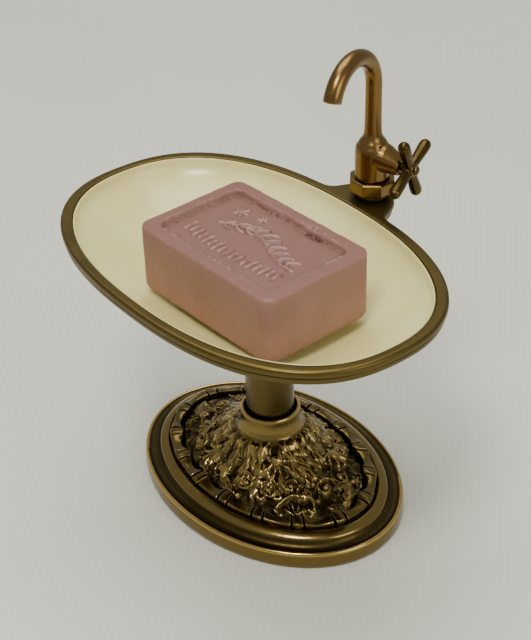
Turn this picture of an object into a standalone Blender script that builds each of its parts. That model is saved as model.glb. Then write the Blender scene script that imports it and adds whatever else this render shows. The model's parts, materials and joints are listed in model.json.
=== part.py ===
"""Soap dish shaped like a pedestal wash basin with a small turning tap.

Metres, +Z up. The origin is on the floor, under the middle of the stem. +X runs along
the basin, the tap stands at the back (+Y) and the open front of the basin faces -Y.
"""
import bmesh
import bpy
from math import atan2, ceil, cos, hypot, pi, radians, sin, tau
from mathutils import Matrix, Vector

MM = 0.001
GAP = 0.3 * MM

# Base: an oval foot that rises to a round neck.
BASE_HALF_LENGTH = 66.4 * MM
BASE_HALF_WIDTH = 48.9 * MM
BASE_BAND_TOP = 6.3 * MM
BASE_BEAD_INSET = 7.9 * MM
BASE_BEAD_TOP = 11.9 * MM
BASE_BORDER_INSET = 9.9 * MM
BASE_FIELD_INSET = 17.8 * MM
BASE_LIP = 1.5 * MM
BASE_WALL = 4.5 * MM
FELT_THICKNESS = 1.5 * MM
NECK_TOP = 39.5 * MM
NECK_RADIUS = 12.3 * MM
NECK_FOOT = 31.0 * MM
SOCKET_FLOOR = 26.0 * MM
WEB_THICKNESS = 4.0 * MM

# Stem and the rod that ties the stand together.
STEM_FOOT_RADIUS = 10.2 * MM
STEM_HEAD_RADIUS = 10.75 * MM
STEM_BORE_RADIUS = 8.4 * MM
ROD_RADIUS = 3.0 * MM
ROD_HOLE_RADIUS = ROD_RADIUS + GAP

# Basin: a rounded oval bowl with a sloping rim and a tongue that carries the tap.
BASIN_X = 1.4 * MM
BASIN_Y = -11.0 * MM
RIM_POWER = 2.4
BOWL_POWER = 2.33
BASIN_HALF_LENGTH = 90.3 * MM
BASIN_HALF_WIDTH = 58.5 * MM
BOWL_HALF_LENGTH = 86.1 * MM
BOWL_HALF_WIDTH = 54.4 * MM
RIM_TOP = 121.4 * MM
RIM_INNER_EDGE = 120.2 * MM
APRON_FOOT = 115.2 * MM
BOWL_FLOOR = 100.5 * MM
PAD_HEIGHT = 98.0 * MM
PAD_RADIUS = 13.5 * MM
BOSS_DEPTH = 10.0 * MM
ENAMEL_THICKNESS = 0.7 * MM
TONGUE_RADIUS = 15.0 * MM
TONGUE_Y = 48.7 * MM
TONGUE_BLEND = 6.0 * MM

# Tap: stands on the tongue and turns about a vertical stud.
TAP_Y = 55.9 * MM
TAP_TURN = radians(18.0)
STUD_RADIUS = 2.8 * MM
STUD_HOLE_RADIUS = STUD_RADIUS + GAP
GASKET_THICKNESS = 0.8 * MM
COLLAR_ACROSS = 18.4 * MM
COLLAR_FOOT = 124.0 * MM
COLLAR_TOP = 130.0 * MM
TAP_RADIUS = 7.3 * MM
TAP_SHOULDER = 142.5 * MM
TAP_HEAD = 147.6 * MM
SPIGOT_RADIUS = 6.2 * MM
SPOUT_FOOT_RADIUS = 3.7 * MM
SPOUT_WAIST_RADIUS = 3.4 * MM
SPOUT_TIP_RADIUS = 3.75 * MM
SPOUT_BEND_HEIGHT = 171.6 * MM
SPOUT_BEND_RADIUS = 16.1 * MM
SPOUT_SWEEP = radians(163.0)
VALVE_HEIGHT = 138.0 * MM
VALVE_ROOT = 4.1 * MM
VALVE_ROOT_RADIUS = 6.3 * MM
VALVE_ROOT_RISE = 2.2 * MM
VALVE_END_RADIUS = 4.0 * MM
VALVE_END = 13.6 * MM
SPINDLE_RADIUS = 1.5 * MM
HUB_FACE = 15.0 * MM
HUB_THICKNESS = 5.0 * MM
HUB_RADIUS = 3.1 * MM
HANDLE_REACH = 13.2 * MM
HANDLE_ARM_ROOT = 2.2 * MM
HANDLE_ARM_RADIUS = 2.6 * MM
HANDLE_TURN = radians(24.5)

# Soap bar.
SOAP_LENGTH = 77.6 * MM
SOAP_WIDTH = 52.2 * MM
SOAP_HEIGHT = 29.8 * MM
SOAP_CORNER = 5.0 * MM
SOAP_MARGIN = 6.0 * MM
SOAP_RECESS = 1.3 * MM
SOAP_UNDERCUT = 4.0 * MM
SOAP_PLACE = Vector((14.4 * MM, -17.4 * MM, 105.9 * MM))
SOAP_YAW = radians(2.5)
SOAP_TILT_X = radians(0.3)
SOAP_TILT_Y = radians(-0.3)

ROUND_STEPS = 32
OVAL_STEPS = 48
PIPE_STEPS = 16


# ---------------------------------------------------------------- materials

def material(name, colour, roughness, metallic):
    made = bpy.data.materials.new(name)
    made.use_nodes = True
    shader = made.node_tree.nodes["Principled BSDF"]
    shader.inputs["Base Color"].default_value = (*colour, 1.0)
    shader.inputs["Roughness"].default_value = roughness
    shader.inputs["Metallic"].default_value = metallic
    return made


def brass(name):
    return material(name + "_brass", (0.33, 0.21, 0.07), 0.35, 1.0)


def steel(name):
    return material(name + "_steel", (0.5, 0.48, 0.45), 0.4, 1.0)


# ---------------------------------------------------------------- bodies

def finish(name, mesh, surface, parent=None):
    """Turn a bmesh into a named object with outward faces and smooth round sides."""
    bmesh.ops.remove_doubles(mesh, verts=mesh.verts, dist=0.002 * MM)
    bmesh.ops.recalc_face_normals(mesh, faces=mesh.faces)
    data = bpy.data.meshes.new(name)
    mesh.to_mesh(data)
    mesh.free()
    data.materials.append(surface)
    data.shade_smooth()
    data.set_sharp_from_angle(angle=radians(35.0))
    made = bpy.data.objects.new(name, data)
    bpy.context.scene.collection.objects.link(made)
    made.parent = parent
    return made


def loft_mesh(loops, ring=False):
    """Skin point loops of equal length; a ring joins its ends, any other is capped."""
    mesh = bmesh.new()
    rows = [[mesh.verts.new(point) for point in loop] for loop in loops]
    pairs = list(zip(rows, rows[1:]))
    if ring:
        pairs.append((rows[-1], rows[0]))
    else:
        mesh.faces.new(rows[0][::-1])
        mesh.faces.new(rows[-1])
    for lower, upper in pairs:
        count = len(lower)
        for i in range(count):
            j = (i + 1) % count
            mesh.faces.new((lower[i], lower[j], upper[j], upper[i]))
    return mesh


def turned_mesh(profile, steps=ROUND_STEPS, ring=False):
    """Spin a (radius, height) profile once round Z."""
    mesh = bmesh.new()
    points = [mesh.verts.new((radius, 0.0, height)) for radius, height in profile]
    edges = [mesh.edges.new(pair) for pair in zip(points, points[1:])]
    if ring:
        edges.append(mesh.edges.new((points[-1], points[0])))
    bmesh.ops.spin(mesh, geom=points + edges, cent=(0, 0, 0), axis=(0, 0, 1),
                   angle=tau, steps=steps, use_merge=True)
    return mesh


def washer(name, inner, outer, foot, top, surface, parent=None, steps=ROUND_STEPS):
    profile = [(outer, foot), (outer, top), (inner, top), (inner, foot)]
    return finish(name, turned_mesh(profile, steps, ring=True), surface, parent)


def nut(name, across, hole, foot, top, surface, parent=None):
    """Hexagonal nut: each corner of the hexagon is one step of the round hole."""
    steps = 24
    chamfer = 0.5 * MM

    def hexagon(across_flats, height):
        loop = []
        for i in range(steps):
            angle = tau * i / steps
            from_flat = (angle % (tau / 6)) - tau / 12
            radius = across_flats / 2 / cos(from_flat)
            loop.append((radius * cos(angle), radius * sin(angle), height))
        return loop

    loops = [hexagon(across - chamfer, foot), hexagon(across, foot + chamfer),
             hexagon(across, top - chamfer), hexagon(across - chamfer, top),
             circle(hole, top, steps), circle(hole, foot, steps)]
    return finish(name, loft_mesh(loops, ring=True), surface, parent)


# ---------------------------------------------------------------- loops

def circle(radius, height, steps=OVAL_STEPS):
    return oval(radius, radius, height, steps)


def oval(half_length, half_width, height, steps=OVAL_STEPS):
    angles = [tau * i / steps for i in range(steps)]
    return [(half_length * cos(a), half_width * sin(a), height) for a in angles]


def base_oval(inset, height):
    return oval(BASE_HALF_LENGTH - inset, BASE_HALF_WIDTH - inset, height)


def basin_angles():
    """Directions round the basin, closer together where the tongue needs them."""
    wide_step = radians(7.5)
    fine_step = radians(3.0)
    fine_from = radians(67.5)
    fine_to = pi - fine_from
    turns = []
    turn = 0.0
    while turn < tau - 1e-6:
        turns.append(turn)
        turn += fine_step if fine_from - 1e-6 <= turn < fine_to - 1e-6 else wide_step
    return [atan2(BASIN_HALF_WIDTH * sin(t), BASIN_HALF_LENGTH * cos(t)) for t in turns]


def oval_reach(angle, half_length, half_width, power):
    """Distance from the basin's middle to a rounded-oval outline."""
    along = abs(cos(angle)) / half_length
    across = abs(sin(angle)) / half_width
    return (along ** power + across ** power) ** (-1 / power)


def outline_depth(x, y):
    """How far a point lies outside the basin and its tongue, blended where they meet."""
    angle = atan2(y - BASIN_Y, x - BASIN_X)
    reach = oval_reach(angle, BASIN_HALF_LENGTH, BASIN_HALF_WIDTH, RIM_POWER)
    from_bowl = hypot(x - BASIN_X, y - BASIN_Y) - reach
    from_tongue = hypot(x, y - min(max(y, 0.0), TONGUE_Y)) - TONGUE_RADIUS
    blend = max(TONGUE_BLEND - abs(from_bowl - from_tongue), 0.0) / TONGUE_BLEND
    return min(from_bowl, from_tongue) - blend * blend * TONGUE_BLEND / 4


def outline_reach(angle, inset):
    """Distance from the basin's middle to the blended outline, found by halving."""
    near, far = 15.0 * MM, 120.0 * MM
    for _ in range(30):
        middle = (near + far) / 2
        x, y = BASIN_X + middle * cos(angle), BASIN_Y + middle * sin(angle)
        if outline_depth(x, y) < -inset:
            near = middle
        else:
            far = middle
    return near


def outline_loop(inset, height):
    """Loop round the basin and its tongue."""
    loop = []
    for angle in basin_angles():
        reach = outline_reach(angle, inset)
        loop.append((BASIN_X + reach * cos(angle), BASIN_Y + reach * sin(angle), height))
    return loop


def bowl_loop(half_length, half_width, height, power=BOWL_POWER):
    """Loop round the bowl alone."""
    loop = []
    for angle in basin_angles():
        reach = oval_reach(angle, half_length, half_width, power)
        loop.append((BASIN_X + reach * cos(angle), BASIN_Y + reach * sin(angle), height))
    return loop


def stem_loop(radius, height):
    """Loop round the stem's axis, in step with the basin's directions."""
    turns = [atan2(BASIN_HALF_LENGTH * sin(a), BASIN_HALF_WIDTH * cos(a))
             for a in basin_angles()]
    return [(radius * cos(t), radius * sin(t), height) for t in turns]


# Inside of the brass bowl, as (distance in from the rim's inner edge, height).
BOWL_PROFILE = [
    (0.0 * MM, RIM_INNER_EDGE),
    (0.4 * MM, 118.4 * MM),
    (1.5 * MM, 116.2 * MM),
    (3.9 * MM, 113.5 * MM),
    (8.3 * MM, 110.3 * MM),
    (13.2 * MM, 107.2 * MM),
    (19.0 * MM, 104.3 * MM),
    (25.2 * MM, 102.1 * MM),
    (32.5 * MM, 100.9 * MM),
    (38.5 * MM, BOWL_FLOOR),
]


def offset_profile(profile, distance):
    """Move an (inset, height) profile towards the inside of the bowl."""
    moved = []
    for i, (inset, height) in enumerate(profile):
        before = profile[max(i - 1, 0)]
        after = profile[min(i + 1, len(profile) - 1)]
        run, rise = after[0] - before[0], after[1] - before[1]
        length = hypot(run, rise)
        moved.append((inset - distance * rise / length, height + distance * run / length))
    return moved


def bowl_surface(profile):
    """Loops down the inside of the bowl, then two small ones across its floor."""
    loops = [bowl_loop(BOWL_HALF_LENGTH - inset, BOWL_HALF_WIDTH - inset, height)
             for inset, height in profile]
    inset, floor = profile[-1]
    for part in (0.6, 0.25):
        loops.append(bowl_loop(part * (BOWL_HALF_LENGTH - inset),
                               part * (BOWL_HALF_WIDTH - inset), floor))
    return loops


# ---------------------------------------------------------------- stand

def base_felt_pad():
    inset = BASE_LIP + GAP
    loops = [base_oval(inset, 0.0), base_oval(inset, FELT_THICKNESS)]
    felt = material("green_felt", (0.03, 0.09, 0.05), 0.95, 0.0)
    return finish("base_felt_pad", loft_mesh(loops), felt)


def base_casting():
    """Hollow oval foot: band, cove, bead, border and a flared field up to the neck."""
    web_foot = SOCKET_FLOOR - WEB_THICKNESS
    socket_radius = STEM_FOOT_RADIUS + 0.7 * MM
    ledge = FELT_THICKNESS + GAP
    loops = [
        base_oval(0.0, GAP),
        base_oval(0.0, BASE_BAND_TOP),
        base_oval(0.7 * MM, BASE_BAND_TOP + 1.1 * MM),
        base_oval(3.1 * MM, BASE_BAND_TOP + 1.6 * MM),
        base_oval(4.3 * MM, 8.6 * MM),
        base_oval(5.8 * MM, 10.2 * MM),
        base_oval(6.7 * MM, BASE_BEAD_TOP - 0.5 * MM),
        base_oval(BASE_BEAD_INSET, BASE_BEAD_TOP),
        base_oval(9.1 * MM, BASE_BEAD_TOP - 0.2 * MM),
        base_oval(BASE_BORDER_INSET, 11.1 * MM),
        base_oval(BASE_FIELD_INSET, 12.4 * MM),
        oval(42.5 * MM, 27.6 * MM, 14.4 * MM),
        oval(36.0 * MM, 24.6 * MM, 16.9 * MM),
        oval(29.0 * MM, 21.3 * MM, 19.9 * MM),
        oval(22.5 * MM, 18.3 * MM, 23.2 * MM),
        oval(18.2 * MM, 16.8 * MM, 26.2 * MM),
        oval(15.3 * MM, 15.0 * MM, 29.4 * MM),
        circle(14.2 * MM, NECK_FOOT),
        circle(13.2 * MM, NECK_FOOT + 1.2 * MM),
        circle(12.9 * MM, 35.0 * MM),
        circle(NECK_RADIUS, 38.6 * MM),
        circle(NECK_RADIUS - 0.3 * MM, NECK_TOP),
        circle(NECK_RADIUS - 0.8 * MM, NECK_TOP),
        circle(socket_radius, 38.0 * MM),
        circle(socket_radius, SOCKET_FLOOR),
        circle(ROD_HOLE_RADIUS, SOCKET_FLOOR),
        circle(ROD_HOLE_RADIUS, web_foot),
        circle(12.0 * MM, web_foot),
        oval(18.5 * MM, 15.5 * MM, 19.6 * MM),
        oval(28.0 * MM, 20.5 * MM, 16.3 * MM),
        oval(42.0 * MM, 27.0 * MM, 11.0 * MM),
        base_oval(BASE_FIELD_INSET, 9.2 * MM),
        base_oval(8.8 * MM, 7.8 * MM),
        base_oval(BASE_WALL, 4.6 * MM),
        base_oval(BASE_WALL, ledge),
        base_oval(BASE_LIP, ledge),
        base_oval(BASE_LIP, GAP),
    ]
    return finish("base_casting", loft_mesh(loops, ring=True), brass("base_casting"))


def stem_tube():
    foot = SOCKET_FLOOR + GAP
    head = PAD_HEIGHT - GAP
    profile = [(STEM_FOOT_RADIUS, foot), (STEM_FOOT_RADIUS, NECK_TOP),
               (STEM_HEAD_RADIUS, head), (STEM_BORE_RADIUS, head), (STEM_BORE_RADIUS, foot)]
    mesh = turned_mesh(profile, ROUND_STEPS, ring=True)
    return finish("stem_tube", mesh, brass("stem_tube"))


def tie_rod():
    foot = 12.0 * MM
    head = PAD_HEIGHT - 3.4 * MM
    chamfer = 0.6 * MM
    profile = [(0.0, foot), (ROD_RADIUS - chamfer, foot), (ROD_RADIUS, foot + chamfer),
               (ROD_RADIUS, head - chamfer), (ROD_RADIUS - chamfer, head), (0.0, head)]
    return finish("tie_rod", turned_mesh(profile, 20), steel("tie_rod"))


def tie_rod_fasteners():
    """Washer, lock washer and nut pressed up against the web of the base."""
    under_web = SOCKET_FLOOR - WEB_THICKNESS - GAP
    washer_foot = under_web - 1.5 * MM
    lock_top = washer_foot - GAP
    lock_foot = lock_top - 1.2 * MM
    nut_top = lock_foot - GAP
    washer("tie_rod_washer", ROD_HOLE_RADIUS, 9.0 * MM, washer_foot, under_web,
           steel("tie_rod_washer"), steps=24)
    washer("tie_rod_lock_washer", ROD_HOLE_RADIUS, 5.4 * MM, lock_foot, lock_top,
           steel("tie_rod_lock_washer"), steps=24)
    nut("tie_rod_nut", 10.0 * MM, ROD_HOLE_RADIUS, nut_top - 4.7 * MM, nut_top,
        steel("tie_rod_nut"))


# ---------------------------------------------------------------- basin

def basin_casting():
    """Bowl with a boss for the rod, a banded apron, a sloping rim and the tap's tongue."""
    boss_foot = PAD_HEIGHT - BOSS_DEPTH
    boss_radius = STEM_BORE_RADIUS - GAP

    def underside(inset, height):
        return bowl_loop(BASIN_HALF_LENGTH - inset, BASIN_HALF_WIDTH - inset, height,
                         RIM_POWER)

    loops = [
        stem_loop(ROD_HOLE_RADIUS, PAD_HEIGHT - 2.4 * MM),
        stem_loop(ROD_HOLE_RADIUS, boss_foot),
        stem_loop(boss_radius, boss_foot),
        stem_loop(boss_radius, PAD_HEIGHT),
        stem_loop(PAD_RADIUS, PAD_HEIGHT),
        underside(36.0 * MM, 98.5 * MM),
        underside(28.0 * MM, 100.0 * MM),
        underside(21.5 * MM, 102.3 * MM),
        underside(15.5 * MM, 105.4 * MM),
        underside(10.5 * MM, 108.6 * MM),
        underside(6.0 * MM, 111.7 * MM),
        underside(3.2 * MM, 114.4 * MM),
        underside(2.3 * MM, APRON_FOOT),
        outline_loop(1.3 * MM, APRON_FOOT),
        outline_loop(0.8 * MM, APRON_FOOT + 0.4 * MM),
        outline_loop(0.7 * MM, 118.0 * MM),
        outline_loop(1.1 * MM, 118.4 * MM),
        outline_loop(0.2 * MM, 119.1 * MM),
        outline_loop(0.0 * MM, 120.0 * MM),
        outline_loop(0.4 * MM, RIM_TOP - 0.4 * MM),
        outline_loop(1.2 * MM, RIM_TOP),
        underside(1.4 * MM, RIM_TOP),
    ]
    loops += bowl_surface(BOWL_PROFILE)
    made = finish("basin_casting", loft_mesh(loops), brass("basin_casting"))
    cut_round_hole(made, STUD_HOLE_RADIUS, (0.0, TAP_Y), APRON_FOOT, RIM_TOP)
    return made


def cut_round_hole(target, radius, place, foot, top):
    """Drill a vertical hole right through with a hidden cutter."""
    beyond = 2.0 * MM
    bpy.ops.mesh.primitive_cylinder_add(
        vertices=ROUND_STEPS // 2, radius=radius, depth=top - foot + 2 * beyond,
        location=(*place, (foot + top) / 2))
    drill = bpy.context.object
    drill.name = target.name + "_drill"
    drill.hide_render = True
    drill.display_type = "WIRE"
    cut = target.modifiers.new("stud_hole", "BOOLEAN")
    cut.operation = "DIFFERENCE"
    cut.object = drill


def basin_enamel():
    """Thin lining that follows the inside of the bowl."""
    outer = bowl_surface(offset_profile(BOWL_PROFILE, GAP))
    inner = bowl_surface(offset_profile(BOWL_PROFILE, GAP + ENAMEL_THICKNESS))
    enamel = material("cream_enamel", (0.76, 0.72, 0.52), 0.15, 0.0)
    return finish("basin_enamel", loft_mesh(outer[::-1] + inner), enamel)


# ---------------------------------------------------------------- tap

def tap_pivot():
    pivot = bpy.data.objects.new("tap_pivot", None)
    bpy.context.scene.collection.objects.link(pivot)
    pivot.location = (0.0, TAP_Y, 0.0)
    pivot.rotation_euler = (0.0, 0.0, TAP_TURN)
    return pivot


def handle_pivot(parent):
    """Empty on the valve's axis; its own Z points out along the valve."""
    pivot = bpy.data.objects.new("handle_pivot", None)
    bpy.context.scene.collection.objects.link(pivot)
    pivot.parent = parent
    pivot.location = (0.0, 0.0, VALVE_HEIGHT)
    pivot.rotation_euler = (0.0, pi / 2, 0.0)
    return pivot


def ledge_gasket(parent):
    foot = RIM_TOP + GAP
    fibre = material("gasket_fibre", (0.06, 0.045, 0.035), 0.8, 0.0)
    return washer("ledge_gasket", STUD_HOLE_RADIUS, 7.0 * MM, foot, foot + GASKET_THICKNESS,
                  fibre, parent)


def tap_collar(parent):
    """Eight-sided collar on a short round neck."""
    foot = RIM_TOP + GASKET_THICKNESS + 2 * GAP
    bore = SPIGOT_RADIUS + GAP
    chamfer = 0.6 * MM

    def octagon(across, height):
        loop = []
        for i in range(ROUND_STEPS):
            angle = tau * i / ROUND_STEPS
            from_flat = (angle % (tau / 8)) - tau / 16
            radius = across / 2 / cos(from_flat)
            loop.append((radius * cos(angle), radius * sin(angle), height))
        return loop

    loops = [
        circle(7.5 * MM, foot, ROUND_STEPS),
        circle(7.5 * MM, COLLAR_FOOT, ROUND_STEPS),
        octagon(COLLAR_ACROSS - 2 * chamfer, COLLAR_FOOT),
        octagon(COLLAR_ACROSS, COLLAR_FOOT + chamfer),
        octagon(COLLAR_ACROSS, COLLAR_TOP - chamfer),
        octagon(COLLAR_ACROSS - 2 * chamfer, COLLAR_TOP),
        circle(bore, COLLAR_TOP, ROUND_STEPS),
        circle(bore, foot, ROUND_STEPS),
    ]
    made = finish("tap_collar", loft_mesh(loops, ring=True), brass("tap_collar"), parent)
    made.rotation_euler = (0.0, 0.0, radians(8.0))
    return made


def tap_body(parent):
    """Round body with a spigot below, a socket for the spout and a cone for the valve."""
    spigot_foot = COLLAR_FOOT - 0.4 * MM
    shoulder_foot = COLLAR_TOP + GAP
    stud_hole_top = 133.0 * MM
    spout_socket = SPOUT_FOOT_RADIUS + GAP
    socket_floor = 141.0 * MM
    lower = [(0.0, stud_hole_top), (STUD_HOLE_RADIUS, stud_hole_top),
             (STUD_HOLE_RADIUS, spigot_foot), (SPIGOT_RADIUS, spigot_foot),
             (SPIGOT_RADIUS, shoulder_foot), (TAP_RADIUS, shoulder_foot)]
    upper = [(TAP_RADIUS, TAP_SHOULDER), (6.9 * MM, 144.2 * MM), (5.8 * MM, 145.9 * MM),
             (5.0 * MM, 146.9 * MM), (4.6 * MM, TAP_HEAD), (spout_socket, TAP_HEAD),
             (spout_socket, socket_floor), (0.0, socket_floor)]
    made = finish("tap_body", turned_mesh(lower + upper), brass("tap_body"), parent)
    valve = valve_cone(made)
    bore = spindle_bore(made)
    for name, tool, operation in (("valve", valve, "UNION"), ("bore", bore, "DIFFERENCE")):
        change = made.modifiers.new(name, "BOOLEAN")
        change.operation = operation
        change.object = tool
    return made


def along_valve(target):
    """Place a tool on the valve's axis, its own Z pointing out from the tap."""
    target.parent = None
    turn = Matrix.Translation((0.0, TAP_Y, 0.0)) @ Matrix.Rotation(TAP_TURN, 4, "Z")
    target.matrix_world = (turn @ Matrix.Translation((0.0, 0.0, VALVE_HEIGHT))
                           @ Matrix.Rotation(pi / 2, 4, "Y"))
    target.hide_render = True
    target.display_type = "WIRE"
    return target


def valve_cone(body):
    """Neck that slopes down from the body's shoulder and tapers to the hub."""
    edge = 0.4 * MM
    slices = [(VALVE_ROOT, VALVE_ROOT_RISE, VALVE_ROOT_RADIUS),
              (7.2 * MM, 1.7 * MM, 5.8 * MM),
              (VALVE_END - edge, 0.0, VALVE_END_RADIUS),
              (VALVE_END, 0.0, VALVE_END_RADIUS - edge)]
    loops = []
    for along, rise, radius in slices:
        loops.append([(x - rise, y, along) for x, y, _ in circle(radius, 0.0, 24)])
    return along_valve(finish(body.name + "_cone", loft_mesh(loops), brass("valve_cone")))


def spindle_bore(body):
    radius = SPINDLE_RADIUS + GAP
    profile = [(0.0, 9.0 * MM), (radius, 9.0 * MM), (radius, VALVE_END + MM), (0.0, VALVE_END + MM)]
    return along_valve(finish(body.name + "_bore", turned_mesh(profile, 16), brass("spindle_bore")))


def spout_centre(turn):
    """Middle of the pipe at a turn along its bend, and the pipe's direction there."""
    middle = Vector((0.0, -SPOUT_BEND_RADIUS, SPOUT_BEND_HEIGHT))
    out = Vector((0.0, cos(turn), sin(turn)))
    forward = Vector((0.0, -sin(turn), cos(turn)))
    return middle + out * SPOUT_BEND_RADIUS, forward


def pipe_loop(centre, forward, radius):
    side = Vector((1.0, 0.0, 0.0))
    across = forward.cross(side)
    loop = []
    for i in range(PIPE_STEPS):
        angle = tau * i / PIPE_STEPS
        loop.append(centre + radius * (cos(angle) * side + sin(angle) * across))
    return loop


def spout_pipe(parent):
    """Swan-neck pipe: straight, then bent over, with an open mouth at its tip."""
    up = Vector((0.0, 0.0, 1.0))
    foot = 141.0 * MM + GAP
    waist = 165.0 * MM
    loops = [pipe_loop(Vector((0.0, 0.0, foot)), up, SPOUT_FOOT_RADIUS),
             pipe_loop(Vector((0.0, 0.0, TAP_HEAD)), up, SPOUT_FOOT_RADIUS),
             pipe_loop(Vector((0.0, 0.0, TAP_HEAD + 6.0 * MM)), up, SPOUT_WAIST_RADIUS + 0.1 * MM),
             pipe_loop(Vector((0.0, 0.0, waist)), up, SPOUT_WAIST_RADIUS)]
    steps = ceil(SPOUT_SWEEP / radians(11.0))
    for i in range(steps + 1):
        part = i / steps
        radius = SPOUT_WAIST_RADIUS + part * (SPOUT_TIP_RADIUS - SPOUT_WAIST_RADIUS)
        loops.append(pipe_loop(*spout_centre(part * SPOUT_SWEEP), radius))
    mouth = 2.5 * MM
    mouth_depth = 5.0 * MM / SPOUT_BEND_RADIUS
    loops.append(pipe_loop(*spout_centre(SPOUT_SWEEP), mouth))
    loops.append(pipe_loop(*spout_centre(SPOUT_SWEEP - mouth_depth), mouth))
    return finish("spout_pipe", loft_mesh(loops), brass("spout_pipe"), parent)


def tap_fasteners(tap):
    """Stud from the tap down through the tongue, with its washer and nut."""
    stud_top = 132.6 * MM
    washer_top = APRON_FOOT - GAP
    washer_foot = washer_top - 1.2 * MM
    nut_top = washer_foot - GAP
    nut_foot = nut_top - 3.2 * MM
    stud_foot = nut_foot - 1.6 * MM
    chamfer = 0.5 * MM
    profile = [(0.0, stud_foot), (STUD_RADIUS - chamfer, stud_foot),
               (STUD_RADIUS, stud_foot + chamfer), (STUD_RADIUS, stud_top), (0.0, stud_top)]
    finish("tap_stud", turned_mesh(profile, 20), steel("tap_stud"), tap)
    washer("tap_washer", STUD_HOLE_RADIUS, 6.6 * MM, washer_foot, washer_top,
           steel("tap_washer"), tap, steps=24)
    nut("tap_nut", 8.6 * MM, STUD_HOLE_RADIUS, nut_foot, nut_top,
        steel("tap_nut"), tap)


def cross_handle(parent):
    """Hub with four round-ended arms that thicken outwards."""
    hub_middle = HUB_FACE + HUB_THICKNESS / 2
    bore = SPINDLE_RADIUS + GAP
    edge = 0.7 * MM
    end = HUB_FACE + HUB_THICKNESS
    profile = [(bore, HUB_FACE), (HUB_RADIUS - edge, HUB_FACE), (HUB_RADIUS, HUB_FACE + edge),
               (HUB_RADIUS, end - edge), (HUB_RADIUS - edge, end), (bore, end)]
    made = finish("cross_handle", turned_mesh(profile, 24, ring=True), brass("cross_handle"),
                  parent)
    for i in range(4):
        arm = handle_arm("handle_arm_tool_%d" % (i + 1), hub_middle, HANDLE_TURN + i * tau / 4)
        join = made.modifiers.new("arm_%d" % (i + 1), "BOOLEAN")
        join.operation = "UNION"
        join.object = arm
    return made


def handle_arm(name, height, turn):
    """One arm, turned about its own length and laid across the valve's axis."""
    root = SPINDLE_RADIUS + GAP + 0.6 * MM
    profile = [(0.0, root), (HANDLE_ARM_ROOT, root), (HANDLE_ARM_ROOT, 5.0 * MM),
               (HANDLE_ARM_RADIUS, HANDLE_REACH - 2.0 * MM)]
    for i in range(5):
        angle = i * pi / 8
        profile.append((HANDLE_ARM_RADIUS * cos(angle),
                        HANDLE_REACH + HANDLE_ARM_RADIUS * sin(angle)))
    arm = finish(name, turned_mesh(profile, 12), brass(name))
    along_valve(arm)
    arm.matrix_world = (arm.matrix_world @ Matrix.Rotation(turn, 4, "Z")
                        @ Matrix.Translation((0.0, 0.0, height)) @ Matrix.Rotation(pi / 2, 4, "Y"))
    return arm


def valve_spindle(parent):
    """Rod that turns in the valve cone, drilled at its end for the handle's screw."""
    screw_hole = 1.1 * MM
    profile = [(0.0, 9.5 * MM), (SPINDLE_RADIUS, 9.5 * MM), (SPINDLE_RADIUS, 19.4 * MM),
               (screw_hole, 19.4 * MM), (screw_hole, 15.5 * MM), (0.0, 15.5 * MM)]
    return finish("valve_spindle", turned_mesh(profile, 16), steel("valve_spindle"), parent)


def handle_screw(parent):
    """Domed screw that closes the hub."""
    head_foot = HUB_FACE + HUB_THICKNESS + GAP
    head_radius = 1.9 * MM
    dome = 0.8 * MM
    shank = 0.8 * MM
    profile = [(0.0, 16.0 * MM), (shank, 16.0 * MM), (shank, head_foot),
               (head_radius, head_foot), (head_radius, head_foot + 0.4 * MM)]
    for i in range(1, 5):
        angle = i * pi / 8
        profile.append((head_radius * cos(angle), head_foot + 0.4 * MM + dome * sin(angle)))
    return finish("handle_screw", turned_mesh(profile, 20), brass("handle_screw"), parent)


# ---------------------------------------------------------------- soap

def rounded_rectangle(half_length, half_width, corner, height):
    loop = []
    for quarter, (side, end) in enumerate(((1, 1), (-1, 1), (-1, -1), (1, -1))):
        for i in range(6):
            angle = quarter * pi / 2 + i * pi / 10
            loop.append((side * (half_length - corner) + corner * cos(angle),
                         end * (half_width - corner) + corner * sin(angle), height))
    return loop


def soap_bar():
    """Pressed bar with soft edges and a shallow sunken panel in its top."""
    soft = 1.1 * MM

    def slice_at(inset, height):
        corner = max(SOAP_CORNER - inset, 1.0 * MM)
        return rounded_rectangle(SOAP_LENGTH / 2 - inset, SOAP_WIDTH / 2 - inset, corner, height)

    loops = []
    for turn in (0.0, pi / 6, pi / 3, pi / 2):
        loops.append(slice_at(SOAP_UNDERCUT * (1 - sin(turn)), SOAP_UNDERCUT * (1 - cos(turn))))
    loops += [
        slice_at(0.0, SOAP_HEIGHT - soft),
        slice_at(0.3 * soft, SOAP_HEIGHT - 0.3 * soft),
        slice_at(soft, SOAP_HEIGHT),
        slice_at(SOAP_MARGIN - 0.6 * MM, SOAP_HEIGHT),
        slice_at(SOAP_MARGIN, SOAP_HEIGHT - SOAP_RECESS),
    ]
    soap = material("rose_soap", (0.36, 0.19, 0.17), 0.55, 0.0)
    made = finish("soap_bar", loft_mesh(loops), soap)
    made.location = SOAP_PLACE
    made.rotation_euler = (SOAP_TILT_X, SOAP_TILT_Y, SOAP_YAW)
    return made


# ---------------------------------------------------------------- whole dish

def clear_scene():
    for old in list(bpy.data.objects):
        bpy.data.objects.remove(old, do_unlink=True)


def main():
    clear_scene()
    base_felt_pad()
    base_casting()
    stem_tube()
    tie_rod()
    tie_rod_fasteners()
    basin_casting()
    basin_enamel()
    tap = tap_pivot()
    ledge_gasket(tap)
    tap_collar(tap)
    tap_body(tap)
    spout_pipe(tap)
    tap_fasteners(tap)
    handle = handle_pivot(tap)
    cross_handle(handle)
    valve_spindle(handle)
    handle_screw(handle)
    soap_bar()


main()
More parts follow.
